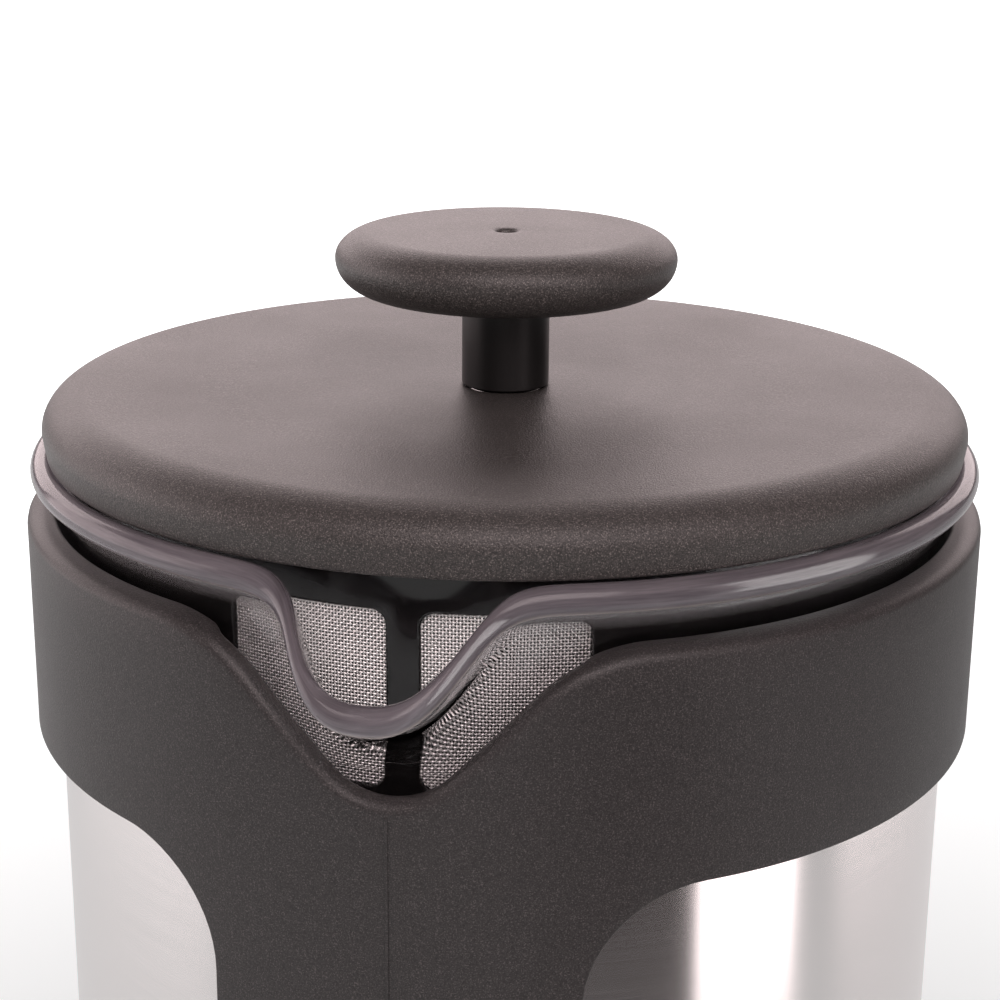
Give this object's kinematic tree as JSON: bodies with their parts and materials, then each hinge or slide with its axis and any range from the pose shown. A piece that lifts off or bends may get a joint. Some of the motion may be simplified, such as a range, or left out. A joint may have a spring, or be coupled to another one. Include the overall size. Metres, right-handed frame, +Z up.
{
  "type": "french press",
  "caption": "French press coffee maker: glass beaker with spout in a steel-sleeved plastic frame with handle, and a lid with a mesh filter plunger.",
  "frame": {"origin": "centre of the non-slip pad's underside, on the beaker's axis, where the press stands on the table", "axes": "+Z up along the beaker and plunger axis, -Y towards the pouring spout, +Y towards the handle"},
  "size_m": [0.1062, 0.1655, 0.2087],
  "materials": {
    "textured_black": "matt black polypropylene with a fine moulded texture",
    "gloss_black": "glossy black moulded plastic",
    "brushed_steel": "stainless sheet with fine brushing round the axis",
    "polished_steel": "bright stainless steel",
    "woven_steel": "fine woven stainless wire cloth",
    "brass": "turned brass",
    "silicone": "matt dark silicone",
    "beaker_glass": "clear borosilicate glass"
  },
  "bodies": {
    "frame_body": {"frame": "textured_black", "steel_sleeve": "brushed_steel", "beaker_cushion": "silicone", "non_slip_pad": "silicone", "handle": "textured_black", "handle_screw_upper": "polished_steel", "handle_screw_lower": "polished_steel"},
    "beaker": {"glass_beaker": "beaker_glass"},
    "rod_guide": {"rod_guide_bush": "polished_steel"},
    "lid": {"lid_cover": "textured_black", "strainer_skirt": "gloss_black", "strainer_mesh_left": "woven_steel", "strainer_mesh_right": "woven_steel"},
    "plunger": {"plunger_rod": "polished_steel", "rod_collar": "polished_steel"},
    "knob_body": {"knob": "textured_black", "knob_neck": "gloss_black", "knob_insert": "brass"},
    "filter_pack": {"spreader_plate": "polished_steel", "spring_coil": "polished_steel", "filter_screen": "woven_steel", "cross_plate": "polished_steel", "lock_nut": "polished_steel"}
  },
  "joints": [
    {"name": "beaker_lift", "type": "slide", "parent": "frame_body", "child": "beaker", "axis": [0, 0, 1], "range_m": [0, 0.18]},
    {"name": "lid_lift", "type": "slide", "parent": "beaker", "child": "rod_guide", "axis": [0, 0, 1], "range_m": [0, 0.18]},
    {"name": "lid_turn", "type": "hinge", "parent": "rod_guide", "child": "lid", "pos_m": [0, 0, 0.187], "axis": [0, 0, 1], "continuous": true},
    {"name": "plunge", "type": "slide", "parent": "rod_guide", "child": "plunger", "axis": [0, 0, 1], "range_m": [0, 0.1375]},
    {"name": "knob_turn", "type": "hinge", "parent": "plunger", "child": "knob_body", "pos_m": [0, 0, 0.2], "axis": [0, 0, 1], "continuous": true},
    {"name": "filter_turn", "type": "hinge", "parent": "plunger", "child": "filter_pack", "pos_m": [0, 0, 0.017], "axis": [0, 0, 1], "continuous": true}
  ]
}
